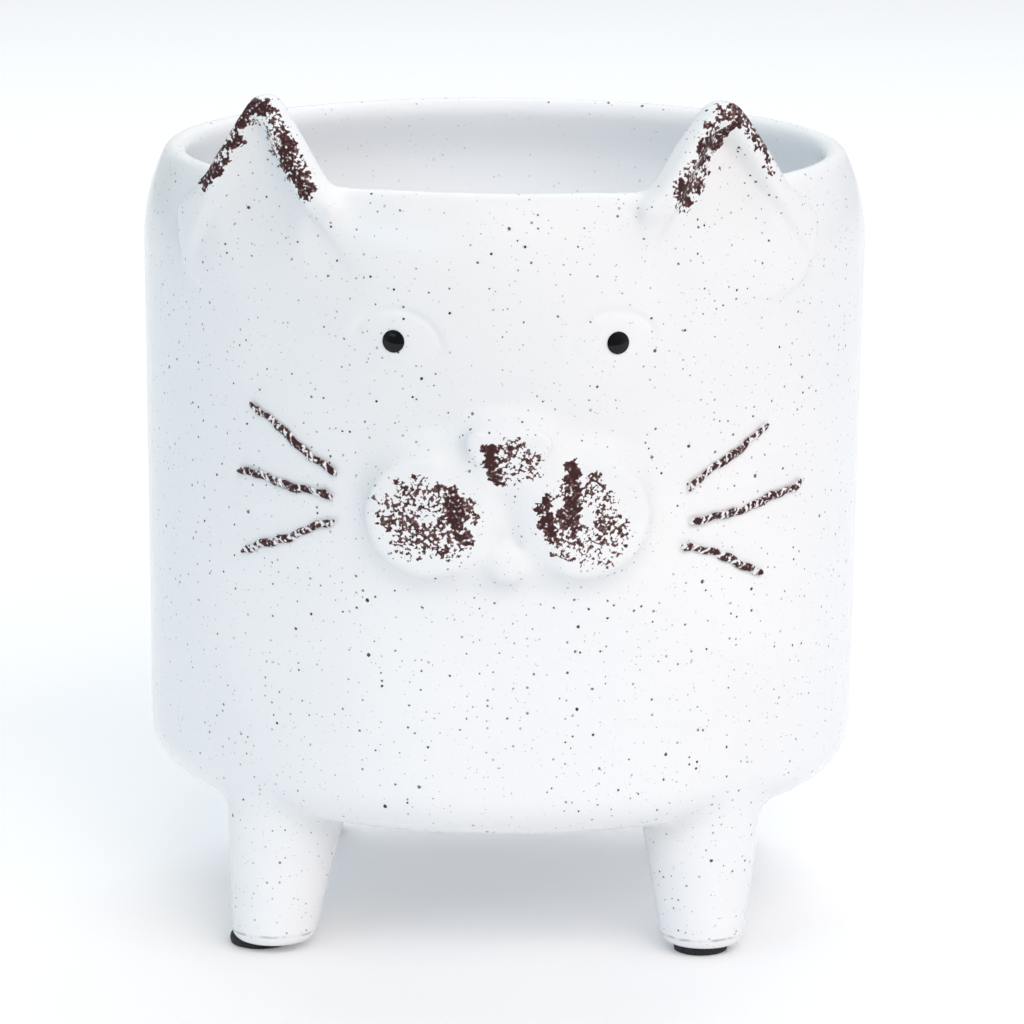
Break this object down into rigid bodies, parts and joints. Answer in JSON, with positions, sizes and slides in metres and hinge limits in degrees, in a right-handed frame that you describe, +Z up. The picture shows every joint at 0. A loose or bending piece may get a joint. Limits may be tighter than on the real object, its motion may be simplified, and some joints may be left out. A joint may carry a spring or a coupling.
{
  "type": "animal shaped planter",
  "caption": "Round planter in speckled white glaze shaped as a cat, with two ears on the rim, a relief face, whiskers and short tapered legs on stick-on pads.",
  "frame": {"origin": "where the pot's upright axis meets the table the pads stand on", "axes": "+Z up along the pot's axis, the cat's face looks along -Y, +X to the right of a viewer who faces it"},
  "size_m": [0.12, 0.1236, 0.1422],
  "materials": {
    "speckled_glaze": "gloss white glaze with fine dark speckles",
    "oxide_relief": "gloss white glaze broken through to brown oxide on the raised parts",
    "black_glaze": "high gloss black",
    "foam_pad": "matt black foam rubber"
  },
  "bodies": {
    "root": {"pot": "speckled_glaze", "ear_left": "speckled_glaze", "ear_right": "speckled_glaze", "eyeball_left": "speckled_glaze", "eyeball_right": "speckled_glaze", "pupil_left": "black_glaze", "pupil_right": "black_glaze", "cheek_left": "oxide_relief", "cheek_right": "oxide_relief", "nose": "oxide_relief", "chin": "speckled_glaze", "whisker_left_upper": "oxide_relief", "whisker_left_middle": "oxide_relief", "whisker_left_lower": "oxide_relief", "whisker_right_upper": "oxide_relief", "whisker_right_middle": "oxide_relief", "whisker_right_lower": "oxide_relief", "leg_front_left": "speckled_glaze", "leg_front_right": "speckled_glaze", "leg_rear_right": "speckled_glaze", "leg_rear_left": "speckled_glaze", "pad_front_left": "foam_pad", "pad_front_right": "foam_pad", "pad_rear_right": "foam_pad", "pad_rear_left": "foam_pad"}
  },
  "joints": []
}
